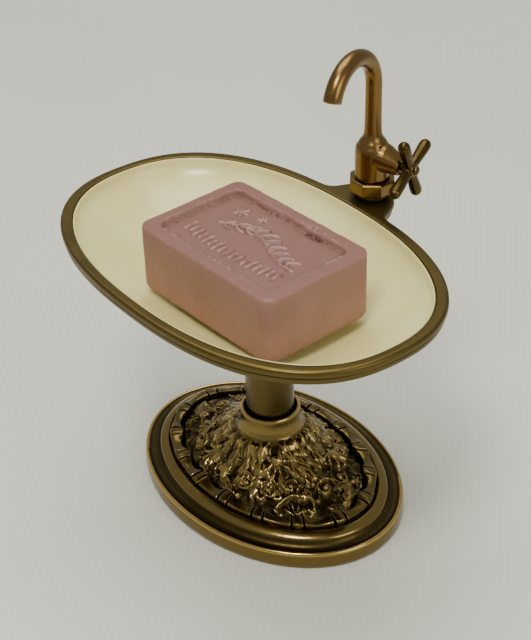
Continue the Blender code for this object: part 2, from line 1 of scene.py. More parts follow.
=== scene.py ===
"""Looks of the pedestal soap dish: cast and darkened brass, cream enamel and a pressed bar of soap.

Metres, +Z up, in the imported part's own frame. Sizes below are in millimetres times MM.
"""
import bpy
import bmesh
import json
import numpy as np
from math import ceil, cos, hypot, pi, radians, sin, tau
from mathutils import Euler, Matrix, Vector, noise

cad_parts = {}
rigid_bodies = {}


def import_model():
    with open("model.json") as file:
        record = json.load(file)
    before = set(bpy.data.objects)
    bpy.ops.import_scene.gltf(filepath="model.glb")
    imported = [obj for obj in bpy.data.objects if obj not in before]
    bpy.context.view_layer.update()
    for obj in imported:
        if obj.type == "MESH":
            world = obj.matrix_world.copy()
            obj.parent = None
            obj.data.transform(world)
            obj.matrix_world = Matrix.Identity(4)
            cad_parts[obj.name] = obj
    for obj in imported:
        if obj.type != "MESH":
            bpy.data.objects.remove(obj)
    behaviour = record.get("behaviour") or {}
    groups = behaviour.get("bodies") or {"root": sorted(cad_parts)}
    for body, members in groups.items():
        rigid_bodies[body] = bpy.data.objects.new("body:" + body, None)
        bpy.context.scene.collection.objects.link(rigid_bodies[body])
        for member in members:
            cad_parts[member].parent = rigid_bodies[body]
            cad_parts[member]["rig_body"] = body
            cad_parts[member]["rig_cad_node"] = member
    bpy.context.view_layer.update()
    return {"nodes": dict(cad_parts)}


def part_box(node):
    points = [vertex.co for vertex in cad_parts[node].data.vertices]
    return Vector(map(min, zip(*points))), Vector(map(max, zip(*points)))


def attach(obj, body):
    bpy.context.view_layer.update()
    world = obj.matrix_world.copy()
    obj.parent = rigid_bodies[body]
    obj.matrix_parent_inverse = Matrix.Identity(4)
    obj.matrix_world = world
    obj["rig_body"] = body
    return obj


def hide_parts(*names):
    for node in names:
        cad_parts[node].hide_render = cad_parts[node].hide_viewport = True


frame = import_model()
nodes = frame["nodes"]
MM = 0.001

# Camera, round the point it looks at.
VIEW_AIM = Vector((24.1, -19.8, 103.6)) * MM
VIEW_TURN = radians(52.6)
VIEW_RISE = radians(34.06)
VIEW_ROLL = radians(-1.5)
VIEW_DISTANCE = 605.8 * MM
VIEW_LENS = 88.1

# Foot: outside of the casting, as the CAD gives it.
foot_low, foot_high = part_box("base_casting")
FOOT_HALF_LENGTH = foot_high.x
FOOT_HALF_WIDTH = foot_high.y
BAND_TOP = 6.3 * MM
BEAD_TOP = 11.9 * MM
BORDER_FROM = 11.2 * MM
BORDER_TO = 17.4 * MM
FIELD_INSET = 17.8 * MM
NECK_FOOT = 31.0 * MM
NECK_TOP = foot_high.z
FIELD_SINK = 0.5 * MM
FIELD_STEPS = 640
RELIEF = 2.2

# Basin: a rounded oval with a tongue at the back that carries the tap.
BASIN_X = 1.4 * MM
BASIN_Y = -11.0 * MM
RIM_POWER = 2.4
BOWL_POWER = 2.33
BASIN_HALF_LENGTH = 90.3 * MM
BASIN_HALF_WIDTH = 58.5 * MM
BOWL_HALF_LENGTH = 86.1 * MM
BOWL_HALF_WIDTH = 54.4 * MM
TONGUE_RADIUS = 15.0 * MM
TONGUE_Y = 48.7 * MM
TONGUE_BLEND = 6.0 * MM
RIM_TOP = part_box("basin_casting")[1].z
APRON_FOOT = 115.2 * MM
PAD_HEIGHT = 98.0 * MM
BOWL_FLOOR = 100.5 * MM
ENAMEL_LIFT = 1.0 * MM

# Tap.
TAP_Y = 55.9 * MM
TAP_TURN = radians(18.0)
TAP_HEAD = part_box("tap_body")[1].z
SPOUT_BEND_HEIGHT = 171.6 * MM
SPOUT_BEND_RADIUS = 16.1 * MM
SPOUT_SWEEP = radians(163.0)
SPOUT_FOOT_RADIUS = 3.7 * MM
SPOUT_WAIST_RADIUS = 3.4 * MM
SPOUT_TIP_RADIUS = 3.75 * MM

# Soap.
SOAP_LENGTH = 77.6 * MM
SOAP_WIDTH = 52.2 * MM
SOAP_HEIGHT = 29.8 * MM
SOAP_CORNER = 5.0 * MM
SOAP_MARGIN = 6.0 * MM
SOAP_RECESS = 2.5 * MM
SOAP_PLACE = Matrix.LocRotScale(Vector((14.4, -17.4, 105.9)) * MM,
                                Euler((radians(0.3), radians(-0.3), radians(2.5))), None)


# ---------------------------------------------------------------- camera and light

def camera():
    data = bpy.data.cameras.new("camera")
    data.lens = VIEW_LENS
    data.sensor_width = 36.0
    eye = bpy.data.objects.new("camera", data)
    bpy.context.scene.collection.objects.link(eye)
    back = Vector((sin(VIEW_TURN) * cos(VIEW_RISE), -cos(VIEW_TURN) * cos(VIEW_RISE),
                   sin(VIEW_RISE)))
    look = (-back).to_track_quat("-Z", "Y").to_matrix().to_4x4()
    roll = Matrix.Rotation(VIEW_ROLL, 4, "Z")
    eye.matrix_world = Matrix.Translation(VIEW_AIM + back * VIEW_DISTANCE) @ look @ roll
    bpy.context.scene.camera = eye


def area_light(name, place, aim, size, power, colour):
    data = bpy.data.lights.new(name, "AREA")
    data.shape = "RECTANGLE"
    data.size, data.size_y = size
    data.energy = power
    data.color = colour
    lamp = bpy.data.objects.new(name, data)
    bpy.context.scene.collection.objects.link(lamp)
    lamp.location = place
    lamp.rotation_euler = (Vector(aim) - Vector(place)).to_track_quat("-Z", "Y").to_euler()


def studio():
    """Pale room light with a large soft window on the left and a small one in front."""
    world = bpy.data.worlds.new("room")
    world.use_nodes = True
    room = world.node_tree.nodes["Background"]
    room.inputs["Color"].default_value = linear("D8DACF")
    room.inputs["Strength"].default_value = 0.65
    bpy.context.scene.world = world
    aim = (0.0, 0.0, 0.09)
    area_light("window", (-0.35, 0.15, 1.25), aim, (0.9, 0.9), 11.0, (1.0, 0.985, 0.95))
    area_light("lamp", (0.3, -0.5, 1.1), aim, (0.3, 0.3), 8.0, (1.0, 0.97, 0.91))
    area_light("fill", (0.9, 0.1, 0.5), aim, (0.5, 0.5), 2.5, (1.0, 0.97, 0.92))


# ---------------------------------------------------------------- materials

def linear(hex_colour):
    """An sRGB hex colour as linear red, green, blue and alpha."""
    shares = [int(hex_colour[i:i + 2], 16) / 255 for i in (0, 2, 4)]
    return (*[s / 12.92 if s <= 0.04045 else ((s + 0.055) / 1.055) ** 2.4 for s in shares], 1.0)


def add(tree, kind, inputs=(), **settings):
    """Add a node; inputs is a dict of socket to value or to the socket that feeds it."""
    made = tree.nodes.new(kind)
    for name, value in settings.items():
        setattr(made, name, value)
    for name, value in dict(inputs).items():
        if isinstance(value, bpy.types.NodeSocket):
            tree.links.new(value, made.inputs[name])
        else:
            made.inputs[name].default_value = value
    return made


def new_material(name, **sockets):
    made = bpy.data.materials.new(name)
    made.use_nodes = True
    tree = made.node_tree
    shader = tree.nodes["Principled BSDF"]
    for socket, value in sockets.items():
        shader.inputs[socket.replace("_", " ")].default_value = value
    place = add(tree, "ShaderNodeTexCoord").outputs["Object"]
    return made, tree, shader, place


def grain(tree, place, size, detail=3.0, stretch=(1.0, 1.0, 1.0)):
    """Noise whose lumps are about size across, in metres; stretch squeezes it per axis."""
    scaled = add(tree, "ShaderNodeMapping", {"Vector": place, "Scale": stretch})
    return add(tree, "ShaderNodeTexNoise", {"Vector": scaled.outputs["Vector"],
                                            "Scale": 1 / size, "Detail": detail}).outputs["Fac"]


def spread(tree, value, low, high, to_low=0.0, to_high=1.0):
    return add(tree, "ShaderNodeMapRange", {"Value": value, "From Min": low, "From Max": high,
                                            "To Min": to_low, "To Max": to_high}).outputs["Result"]


def blend(tree, share, first, second):
    mixed = add(tree, "ShaderNodeMix", data_type="RGBA")
    for socket, value in ((mixed.inputs["Factor"], share), (mixed.inputs[6], first),
                          (mixed.inputs[7], second)):
        if isinstance(value, bpy.types.NodeSocket):
            tree.links.new(value, socket)
        else:
            socket.default_value = value
    return mixed.outputs[2]


def math(tree, operation, first, second):
    return add(tree, "ShaderNodeMath", {0: first, 1: second}, operation=operation).outputs[0]


def bumped(tree, shader, height, depth):
    bump = add(tree, "ShaderNodeBump", {"Height": height, "Distance": depth, "Strength": 1.0})
    tree.links.new(bump.outputs["Normal"], shader.inputs["Normal"])


def antique_brass(name, tone="5F512F", deep="2A1F0D", shine="A08852", brush=(0.1, 0.1, 1.0),
                  polish=0.26, relief=False):
    """Cast brass, darkened in the hollows and worn back to metal on edges and high spots.

    The film of oxide makes it browner and duller; worn edges are yellower and glossier.
    brush squeezes the fine polishing lines along the way the piece was polished, and polish is
    the roughness of clean metal. With relief, a point attribute on the mesh sets the hollows and
    edges instead: wear on the carving, and painted highlights and painted shade on the foot's
    band, collar and socket.
    """
    made, tree, shader, place = new_material(name, Metallic=1.0)
    cloud = grain(tree, place, 14 * MM, 4.0)
    speck = grain(tree, place, 1.6 * MM, 5.0)
    lines = grain(tree, place, 0.9 * MM, 2.0, brush)
    if relief:
        # The attribute also holds painted highlights and painted shade, so edge and hollow here
        # carry painted light as well as wear.
        high = add(tree, "ShaderNodeAttribute", attribute_name="wear_and_painted_light").outputs["Fac"]
        hollow = spread(tree, high, 0.55, 0.0)
        edge = spread(tree, high, 0.75, 1.1)
    else:
        open_sky = add(tree, "ShaderNodeAmbientOcclusion", {"Distance": 2.5 * MM}, samples=8,
                       only_local=True).outputs["AO"]
        hollow = spread(tree, open_sky, 0.8, 0.35)
        inner = add(tree, "ShaderNodeAmbientOcclusion", {"Distance": 0.8 * MM}, samples=8,
                    inside=True, only_local=True).outputs["AO"]
        edge = spread(tree, inner, 0.85, 0.45)
    dulled = math(tree, "ADD", hollow, spread(tree, speck, 0.35, 0.75, -0.1, 0.12))
    dulled = math(tree, "ADD", dulled, spread(tree, cloud, 0.3, 0.7, -0.1, 0.1))
    dulled = spread(tree, dulled, 0.05, 1.0)
    worn = blend(tree, edge, linear(tone), linear(shine))
    colour = blend(tree, dulled, worn, linear(deep))
    tree.links.new(colour, shader.inputs["Base Color"])
    rough = math(tree, "ADD", spread(tree, dulled, 0.0, 1.0, polish, 0.5),
                 spread(tree, cloud, 0.3, 0.7, -0.05, 0.06))
    tree.links.new(rough, shader.inputs["Roughness"])
    height = math(tree, "ADD", math(tree, "MULTIPLY", lines, 0.5), speck)
    bumped(tree, shader, height, 0.035 * MM)
    return made


def fired_enamel():
    """Vitreous enamel fired on brass: glassy, cream, faintly uneven in tint and flow."""
    made, tree, shader, place = new_material("cream_enamel", Roughness=0.24)
    flow = grain(tree, place, 22 * MM, 2.0)
    fleck = grain(tree, place, 3.0 * MM, 6.0)
    cream = blend(tree, spread(tree, flow, 0.35, 0.65), linear("DDD48F"), linear("E3DC9F"))
    cream = blend(tree, spread(tree, fleck, 0.62, 0.8, 0.0, 0.35), cream, linear("C8BB83"))
    tree.links.new(cream, shader.inputs["Base Color"])
    bumped(tree, shader, flow, 0.5 * MM)
    return made


def pressed_soap():
    """Milled soap pressed in a die: waxy, slightly clouded, paler where it is scuffed."""
    made, tree, shader, place = new_material("rose_soap", Roughness=0.48, Subsurface_Weight=0.18,
                                             Subsurface_Scale=3.0 * MM)
    cloud = grain(tree, place, 16 * MM, 4.0)
    fleck = grain(tree, place, 0.7 * MM, 3.0)
    scuff = grain(tree, place, 2.2 * MM, 6.0)
    inner = add(tree, "ShaderNodeAmbientOcclusion", {"Distance": 1.8 * MM}, samples=8,
                inside=True, only_local=True).outputs["AO"]
    open_sky = add(tree, "ShaderNodeAmbientOcclusion", {"Distance": 4.0 * MM}, samples=8,
                   only_local=True).outputs["AO"]
    rose = blend(tree, spread(tree, cloud, 0.3, 0.7), linear("8C645A"), linear("966D65"))
    rose = blend(tree, spread(tree, fleck, 0.66, 0.8, 0.0, 0.4), rose, linear("AE8A82"))
    # Painted shade: faces turned up are darkened, so the top reads no lighter than the sides under
    # the overhead light.
    upward = add(tree, "ShaderNodeSeparateXYZ", {"Vector": add(
        tree, "ShaderNodeTexCoord").outputs["Normal"]}).outputs["Z"]
    rose = blend(tree, spread(tree, upward, 0.5, 0.95, 0.0, 0.75), rose, linear("714840"))
    # Painted shade: ambient occlusion darkens the recessed panel's walls, the feet of the pressed
    # strokes and other hollows.
    rose = blend(tree, spread(tree, open_sky, 0.93, 0.5), rose, linear("4E2E28"))
    edge = math(tree, "MULTIPLY", spread(tree, inner, 0.78, 0.45), spread(tree, scuff, 0.36, 0.55))
    rose = blend(tree, edge, rose, linear("BF978C"))
    tree.links.new(rose, shader.inputs["Base Color"])
    tree.links.new(spread(tree, scuff, 0.3, 0.7, 0.4, 0.58), shader.inputs["Roughness"])
    bumped(tree, shader, math(tree, "ADD", fleck, scuff), 0.05 * MM)
    return made


def zinc_steel():
    """Turned steel with thin zinc plate: pale grey, faintly crystalline."""
    made, tree, shader, place = new_material("zinc_steel", Metallic=1.0)
    spangle = add(tree, "ShaderNodeTexVoronoi", {"Vector": place, "Scale": 1 / (0.8 * MM)})
    turning = grain(tree, place, 0.5 * MM, 2.0, (0.1, 0.1, 1.0))
    grey = blend(tree, spread(tree, spangle.outputs["Distance"], 0.1, 0.8), linear("A9AAA6"),
                 linear("8D8C86"))
    tree.links.new(grey, shader.inputs["Base Color"])
    tree.links.new(spread(tree, turning, 0.3, 0.7, 0.3, 0.48), shader.inputs["Roughness"])
    bumped(tree, shader, turning, 0.02 * MM)
    return made


def wool_felt():
    """Pressed green felt: matted fibres with a dusty sheen."""
    made, tree, shader, place = new_material("green_felt", Roughness=0.95, Sheen_Weight=0.5)
    fibre = grain(tree, place, 0.6 * MM, 6.0, (1.0, 0.3, 1.0))
    green = blend(tree, spread(tree, fibre, 0.35, 0.65), linear("1D3A26"), linear("3B5C43"))
    tree.links.new(green, shader.inputs["Base Color"])
    bumped(tree, shader, fibre, 0.2 * MM)
    return made


def vulcanised_fibre():
    """Hard brown-black gasket board: matt, with short pressed fibres."""
    made, tree, shader, place = new_material("gasket_fibre", Roughness=0.75)
    fibre = grain(tree, place, 0.8 * MM, 5.0, (1.0, 0.4, 2.0))
    brown = blend(tree, spread(tree, fibre, 0.35, 0.65), linear("241A14"), linear("3A2B22"))
    tree.links.new(brown, shader.inputs["Base Color"])
    bumped(tree, shader, fibre, 0.05 * MM)
    return made


def table_cloth():
    """Off-white cotton twill on the table; its ribs are drawn 1.1 mm apart so that they show."""
    made, tree, shader, place = new_material("table_cloth", Roughness=0.92)
    rib = add(tree, "ShaderNodeTexWave", {"Vector": place, "Scale": 1 / (1.1 * MM) / tau,
                                          "Distortion": 1.2, "Detail": 2.0,
                                          "Detail Scale": 1.5}, bands_direction="DIAGONAL")
    drift = grain(tree, place, 180 * MM, 3.0)
    pale = blend(tree, spread(tree, drift, 0.35, 0.65), linear("D5D6CC"), linear("DBDCD2"))
    pale = blend(tree, spread(tree, rib.outputs["Fac"], 0.2, 0.8, 0.0, 0.22), pale,
                 linear("C9CABF"))
    tree.links.new(pale, shader.inputs["Base Color"])
    bumped(tree, shader, rib.outputs["Fac"], 0.05 * MM)
    return made


# ---------------------------------------------------------------- making pieces

def nothing_selected():
    bpy.ops.object.select_all(action="DESELECT")


def piece(obj, name, surface, body, slot, *stands_for):
    """Name a finished mesh, give it its material and let it ride on its body."""
    obj.name = name
    obj.data.name = name
    obj.data.materials.clear()
    obj.data.materials.append(surface)
    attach(obj, body)
    if stands_for:
        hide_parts(*stands_for)
    return obj


def settle(obj, smooth_angle=radians(40)):
    """Move an object's place into its mesh and shade it smooth across gentle edges."""
    nothing_selected()
    obj.select_set(True)
    bpy.context.view_layer.objects.active = obj
    bpy.ops.object.transform_apply(location=True, rotation=True, scale=True)
    bpy.ops.object.shade_smooth_by_angle(angle=smooth_angle)
    return obj


def modified(obj, kind, **settings):
    """Add a modifier and apply it at once."""
    change = obj.modifiers.new(kind.lower(), kind)
    for name, value in settings.items():
        setattr(change, name, value)
    nothing_selected()
    obj.select_set(True)
    bpy.context.view_layer.objects.active = obj
    bpy.ops.object.modifier_apply(modifier=change.name)
    return obj


def drawn_rings(rings, steps, hollow):
    """Extrude an oval edge through (half length, half width, height) rings.

    A hollow body's last ring is bridged to its first; a solid one is capped at both ends.
    """
    nothing_selected()
    length, width, height = rings[0]
    bpy.ops.mesh.primitive_circle_add(vertices=steps, radius=1.0, location=(0, 0, 0))
    made = bpy.context.object
    bpy.ops.object.mode_set(mode="EDIT")
    bpy.ops.transform.resize(value=(length, width, 1.0))
    bpy.ops.transform.translate(value=(0.0, 0.0, height))
    if not hollow:
        bpy.ops.mesh.edge_face_add()
    for next_length, next_width, next_height in rings[1:]:
        bpy.ops.mesh.extrude_region_move(
            TRANSFORM_OT_translate={"value": (0.0, 0.0, next_height - height)})
        bpy.ops.transform.resize(value=(next_length / length, next_width / width, 1.0))
        length, width, height = next_length, next_width, next_height
    if hollow:
        bpy.ops.mesh.select_all(action="DESELECT")
        bpy.ops.mesh.select_mode(type="EDGE")
        bpy.ops.mesh.select_non_manifold()
        bpy.ops.mesh.bridge_edge_loops()
    bpy.ops.mesh.select_all(action="SELECT")
    bpy.ops.mesh.normals_make_consistent(inside=False)
    bpy.ops.object.mode_set(mode="OBJECT")
    return made


def skinned(name, rows, closed=False):
    """Skin point rows of equal length; a closed body joins its last row to its first."""
    count = len(rows[0])
    points = [tuple(p) for row in rows for p in row]
    pairs = [(i, i + 1) for i in range(len(rows) - 1)]
    faces = []
    if closed:
        pairs.append((len(rows) - 1, 0))
    else:
        faces.append(tuple(range(count))[::-1])
        faces.append(tuple(range(len(points) - count, len(points))))
    for low, high in pairs:
        for i in range(count):
            j = (i + 1) % count
            faces.append((low * count + i, low * count + j, high * count + j, high * count + i))
    data = bpy.data.meshes.new(name)
    data.from_pydata(points, [], faces)
    made = bpy.data.objects.new(name, data)
    bpy.context.scene.collection.objects.link(made)
    nothing_selected()
    made.select_set(True)
    bpy.context.view_layer.objects.active = made
    bpy.ops.object.mode_set(mode="EDIT")
    bpy.ops.mesh.select_all(action="SELECT")
    bpy.ops.mesh.normals_make_consistent(inside=False)
    bpy.ops.object.mode_set(mode="OBJECT")
    return made


def softened_casting(node, grit, rounds):
    """Copy a machined CAD body and round its edges and inner corners as a sand mould does."""
    made = nodes[node].copy()
    made.data = nodes[node].data.copy()
    made.parent = None
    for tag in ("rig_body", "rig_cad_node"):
        del made[tag]
    bpy.context.scene.collection.objects.link(made)
    nothing_selected()
    made.select_set(True)
    bpy.context.view_layer.objects.active = made
    bpy.ops.object.mode_set(mode="EDIT")
    bpy.ops.mesh.select_all(action="SELECT")
    bpy.ops.mesh.remove_doubles(threshold=0.002 * MM)
    bpy.ops.object.mode_set(mode="OBJECT")
    modified(made, "REMESH", mode="VOXEL", voxel_size=grit)
    modified(made, "SMOOTH", factor=0.5, iterations=rounds)
    return settle(made)


def mesh_points(obj):
    flat = np.zeros(len(obj.data.vertices) * 3)
    obj.data.vertices.foreach_get("co", flat)
    return flat.reshape(-1, 3)


def set_points(obj, points):
    obj.data.vertices.foreach_set("co", np.asarray(points, float).ravel())
    obj.data.update()


# ---------------------------------------------------------------- carved ornament

def stroke(points, wide, high):
    """One carved ridge: points along it in mm, its half width at each, and its height."""
    line = np.asarray(points, float)
    wide = np.interp(np.linspace(0, 1, len(line)), np.linspace(0, 1, len(wide)), wide)
    return line, wide, high


def arc_points(length, bend, count=16):
    """A line from the origin along +X that bends by bend radians over its length."""
    turn = bend * (np.arange(count) + 0.5) / count
    step = length / count
    line = np.stack([np.cos(turn), np.sin(turn)], 1) * step
    return np.vstack([[0, 0], np.cumsum(line, 0)])


def turned(points, angle):
    c, s = cos(angle), sin(angle)
    return np.asarray(points) @ np.array([[c, s], [-s, c]])


def leaf(size, lobes=4, bend=0.5):
    """Acanthus leaf: a rib with curling lobes on both sides."""
    rib = arc_points(size, bend, 24)
    parts = [stroke(rib, (0.13 * size, 0.09 * size, 0.04 * size), 1.0)]
    for i in range(lobes):
        share = 0.08 + 0.74 * i / (lobes - 1)
        at = rib[int(share * 24)]
        lobe_length = size * (0.42 - 0.30 * abs(share - 0.35))
        for side in (1, -1):
            lobe = arc_points(lobe_length, -0.7 * side, 12)
            heading = bend * share + side * (1.05 - 0.45 * share)
            parts.append(stroke(turned(lobe, heading) + at,
                                (0.09 * size, 0.15 * size, 0.06 * size), 0.85))
    return parts


def scroll(size, turns=1.35, leaflets=4):
    """Volute that winds in to a ball, with leaflets along its outer side."""
    count = 56
    angle = np.linspace(0, turns * tau, count)
    reach = size * np.exp(-angle / (turns * tau) * 1.75)
    line = np.stack([reach * np.cos(angle), reach * np.sin(angle)], 1)
    parts = [stroke(line, (0.10 * size, 0.17 * size, 0.10 * size), 1.0),
             stroke(line[-1:] * 0.2, (0.26 * size,), 1.15)]
    for i in range(leaflets):
        at = line[2 + i * 5]
        heading = angle[2 + i * 5] + 0.65
        lobe = turned(arc_points(0.62 * size, 0.9, 10), heading)
        parts.append(stroke(lobe + at, (0.10 * size, 0.13 * size, 0.03 * size), 0.8))
    return parts


def palmette(size, fingers=7):
    """Fan of rounded fingers that rise from one point."""
    parts = []
    for i in range(fingers):
        lean = (i / (fingers - 1) - 0.5) * 2.3
        finger = arc_points(size * (1.0 - 0.22 * abs(lean)), 0.35 * lean, 12)
        parts.append(stroke(turned(finger, lean), (0.06 * size, 0.11 * size, 0.16 * size), 1.0))
    parts.append(stroke([[0.0, 0.0]], (0.2 * size,), 1.2))
    return parts


def flower(size, petals=6):
    parts = [stroke([[0.0, 0.0]], (0.26 * size,), 1.15)]
    for i in range(petals):
        petal = turned(arc_points(0.8 * size, 0.0, 8) + [0.2 * size, 0.0], i * tau / petals)
        parts.append(stroke(petal, (0.12 * size, 0.27 * size, 0.18 * size), 0.9))
    return parts


def medallion(size):
    """Half-oval frame that opens outwards, with a small palmette in it."""
    angle = np.linspace(-0.55 * pi, 0.55 * pi, 48) + pi
    arch = np.stack([0.95 * size * np.cos(angle), size * np.sin(angle)], 1)
    parts = [stroke(arch, (0.1 * size,), 1.1)]
    for line, wide, high in palmette(0.62 * size, 5):
        parts.append((turned(line, pi) + [0.05 * size, 0.0], wide, high))
    for side in (1, -1):
        for line, wide, high in flower(0.26 * size, 5):
            parts.append((line + [0.02 * size, side * 0.62 * size], wide, high))
    return parts


def placed(parts, at, heading, flip=False):
    moved = []
    for line, wide, high in parts:
        line = line * [1.0, -1.0] if flip else line
        moved.append((turned(line, heading) + at, wide, high))
    return moved


def ridges(points, parts, twins=True):
    """Height of the carved strokes over plan points in mm; twins repeats them half a turn on."""
    height = np.zeros(len(points))
    for line, wide, high in parts:
        reach = wide.max()
        for sign in ((1, -1) if twins else (1,)):
            there = line * sign
            low, top = there.min(0) - reach, there.max(0) + reach
            near = np.nonzero(np.all((points > low) & (points < top), axis=1))[0]
            if not len(near):
                continue
            gap = np.linalg.norm(points[near, None, :] - there[None, :, :], axis=2) / wide
            swell = high * np.clip(1 - gap.min(1) ** 2, 0, 1) ** 0.7
            height[near] = np.maximum(height[near], swell)
    return height


# ---------------------------------------------------------------- foot

FIELD_RINGS = [(FOOT_HALF_LENGTH - FIELD_INSET, FOOT_HALF_WIDTH - FIELD_INSET, 12.4 * MM),
               (42.5 * MM, 27.6 * MM, 14.4 * MM), (36.0 * MM, 24.6 * MM, 16.9 * MM),
               (29.0 * MM, 21.3 * MM, 19.9 * MM), (22.5 * MM, 18.3 * MM, 23.2 * MM),
               (18.2 * MM, 16.8 * MM, 26.2 * MM), (15.3 * MM, 15.0 * MM, 29.4 * MM),
               (14.2 * MM, 14.2 * MM, NECK_FOOT)]


def field_ring(share):
    """Smooth in-between ring of the flared field, from its outer edge 0 to the neck 1."""
    at = share * (len(FIELD_RINGS) - 1)
    ways = np.arange(len(FIELD_RINGS))
    return tuple(np.interp(at, ways, [ring[i] for ring in FIELD_RINGS]) for i in range(3))


def foot_rings():
    def edge(inset, height):
        return (FOOT_HALF_LENGTH - inset * MM, FOOT_HALF_WIDTH - inset * MM, height * MM)

    outside = [edge(0.25, 0.3), edge(0.0, 0.6), edge(0.0, 2.0), edge(0.0, 4.0), edge(0.0, 5.6),
               edge(0.05, 6.4), edge(0.2, 7.05), edge(0.45, 7.5), edge(0.8, 7.75),
               edge(1.15, 7.8), edge(1.5, 7.7), edge(1.9, 7.4), edge(2.4, 7.05), edge(3.0, 6.85),
               edge(3.8, 6.8), edge(4.6, 6.95), edge(5.3, 7.3), edge(5.9, 7.8), edge(6.3, 8.4),
               edge(6.6, 9.0), edge(6.8, 9.6), edge(7.0, 10.0), edge(7.4, 10.3),
               edge(8.0, 10.65), edge(8.8, 11.05), edge(9.6, 11.45), edge(10.3, 11.7),
               edge(10.9, 11.5), edge(11.2, 11.0), edge(11.4, 10.5), edge(12.0, 10.3),
               edge(13.5, 10.3), edge(15.0, 10.6), edge(16.8, 10.8), edge(17.3, 11.3)]
    steps = 92
    field = [field_ring((i / steps) ** 0.9) for i in range(steps + 1)]

    def round_at(radius, height):
        return (radius * MM, radius * MM, height * MM)

    neck = [round_at(14.1, 31.4), round_at(13.95, 31.8), round_at(13.8, 32.2),
            round_at(13.6, 32.7), round_at(13.4, 33.3), round_at(13.2, 34.1),
            round_at(13.0, 35.0), round_at(12.85, 36.2), round_at(12.8, 37.2),
            round_at(12.85, 38.1), round_at(12.75, 38.8), round_at(12.5, 39.25),
            round_at(12.15, 39.47),
            round_at(11.75, 39.5), round_at(11.45, 39.35), round_at(11.2, 39.0),
            round_at(10.95, 38.4), round_at(10.9, 37.6), round_at(10.9, 26.0),
            round_at(3.3, 26.0), round_at(3.3, 22.0), round_at(12.0, 22.0)]
    inside = [(18.5 * MM, 15.5 * MM, 19.0 * MM), (28.0 * MM, 20.5 * MM, 15.6 * MM),
              (42.0 * MM, 27.0 * MM, 10.4 * MM), edge(17.8, 8.6), edge(8.8, 7.2),
              edge(4.5, 4.6), edge(4.5, 1.8), edge(1.5, 1.8), edge(1.5, 0.3)]
    return outside + field + neck + inside


def field_place(turn, share):
    """Plan point in mm and outward heading, share of the way from the neck to the border."""
    near = np.array([14.2 * cos(turn), 14.2 * sin(turn)])
    edge = np.array([(FOOT_HALF_LENGTH - FIELD_INSET) * cos(turn),
                     (FOOT_HALF_WIDTH - FIELD_INSET) * sin(turn)]) / MM
    out = edge - near
    return near + share * out, float(np.arctan2(out[1], out[0]))


def field_ornament():
    """Scrolls, leaves and a medallion over one half of the field; the other half is its twin."""
    middle = radians(-36)
    design = []

    def put(make, size, turn, share, heading=0.0, flip=False, **shape):
        at, out = field_place(turn, share)
        design.extend(placed(make(size, **shape), at, out + heading, flip))

    put(medallion, 8.8, middle, 0.97)
    put(palmette, 11.5, middle, 0.20, fingers=5)
    put(scroll, 3.6, middle + radians(5), 0.56, 1.0, leaflets=2)
    put(flower, 3.6, middle - radians(5), 0.50, petals=5)
    for sign in (1, -1):
        flip = sign < 0
        put(leaf, 17.0, middle + sign * radians(16), 0.04, 0.1 * sign, flip, bend=0.5)
        put(scroll, 5.0, middle + sign * radians(15), 0.66, sign * 2.2, flip)
        put(leaf, 13.0, middle + sign * radians(33), 0.05, 0.0, flip, bend=0.6)
        put(scroll, 6.2, middle + sign * radians(34), 0.66, sign * 0.6, flip, turns=1.5)
        put(leaf, 11.5, middle + sign * radians(50), 0.04, 0.0, flip, bend=0.3)
        put(leaf, 11.0, middle + sign * radians(40), 0.93, sign * 1.9, flip, bend=0.9)
        put(scroll, 5.2, middle + sign * radians(57), 0.68, sign * 3.2, flip)
        put(leaf, 10.5, middle + sign * radians(68), 0.03, 0.0, flip, bend=-0.3)
        put(palmette, 7.5, middle + sign * radians(73), 0.42, 0.0, flip, fingers=7)
        put(flower, 3.0, middle + sign * radians(66), 0.90, 0.0, flip)
        put(leaf, 10.5, middle + sign * radians(84), 0.03, 0.0, flip, bend=0.3)
        put(scroll, 4.6, middle + sign * radians(88), 0.70, sign * 1.2, flip)
    return design + ground_leaves()


def ground_leaves():
    """Small curled leaves that fill the ground between the larger ornament."""
    chance = np.random.default_rng(7)
    fill = []
    for turn in np.radians(np.arange(0, 180, 10.0)):
        for share in np.arange(0.1, 1.0, 0.2):
            at, out = field_place(turn + chance.uniform(-0.05, 0.05),
                                  share + chance.uniform(-0.04, 0.04))
            blade = arc_points(chance.uniform(3.5, 6.0), chance.uniform(-1.8, 1.8), 10)
            blade = turned(blade, out + chance.uniform(-2.0, 2.0)) + at
            fill.append(stroke(blade, (0.7, 1.7, 0.5), chance.uniform(0.35, 0.6)))
    return fill


